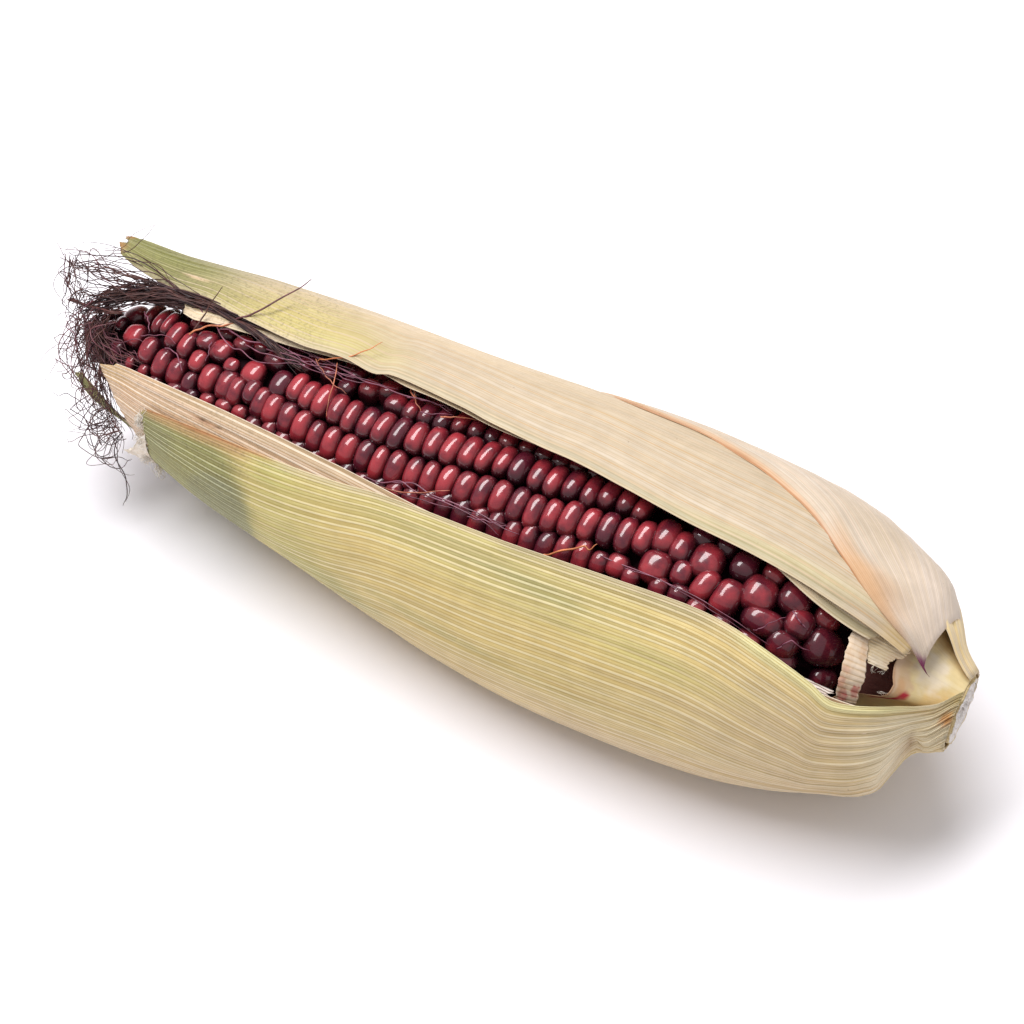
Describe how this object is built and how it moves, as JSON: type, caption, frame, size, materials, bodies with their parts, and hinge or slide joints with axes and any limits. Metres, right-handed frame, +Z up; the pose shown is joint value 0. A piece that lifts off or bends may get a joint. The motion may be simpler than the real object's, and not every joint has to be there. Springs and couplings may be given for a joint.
{
  "type": "ear of corn",
  "caption": "Picked ear of dark red corn lying on its side, husk opened along the top over rows of glossy kernels, dark silk at the tip and a cut stem.",
  "frame": {"origin": "on the flat resting patch under the husk, straight below the ear's own axis near the middle of its length", "axes": "+X along the ear towards the cut stem, -X towards the silk tip, +Z up from the surface it lies on, -Y towards the front husk leaves"},
  "size_m": [0.2408, 0.0728, 0.0598],
  "materials": {
    "kernel": "glossy dark red skin",
    "cob": "matt dark chaff",
    "stem": "fibrous cut end, smooth pale sides",
    "husk_green": "satin leaf with parallel veins, green to yellow",
    "husk_tan": "dry satin leaf, fine parallel lines",
    "husk_cream": "satin leaf with parallel veins, cream",
    "husk_pink": "thin dry leaf, pinkish cream with an orange margin",
    "husk_torn": "torn leaf, fibrous, red stains",
    "silk": "fine dry hair, dark maroon to brown"
  },
  "bodies": {
    "root": {"cob": "cob", "stem": "stem", "kernel_row_01": "kernel", "kernel_row_02": "kernel", "kernel_row_03": "kernel", "kernel_row_04": "kernel", "kernel_row_05": "kernel", "kernel_row_06": "kernel", "kernel_row_07": "kernel", "kernel_row_08": "kernel", "kernel_row_09": "kernel", "kernel_row_10": "kernel", "kernel_row_11": "kernel", "kernel_row_12": "kernel", "kernel_row_13": "kernel", "kernel_row_14": "kernel", "husk_front_outer": "husk_green", "husk_front_inner": "husk_tan", "husk_front_under": "husk_green", "husk_back_main": "husk_cream", "husk_back_inner": "husk_cream", "husk_back_outer": "husk_pink", "husk_far_outer": "husk_cream", "husk_torn_strip": "husk_torn", "husk_torn_scrap": "husk_torn", "husk_base_stub": "husk_cream", "silk_bundle": "silk", "silk_tuft": "silk"}
  },
  "joints": []
}
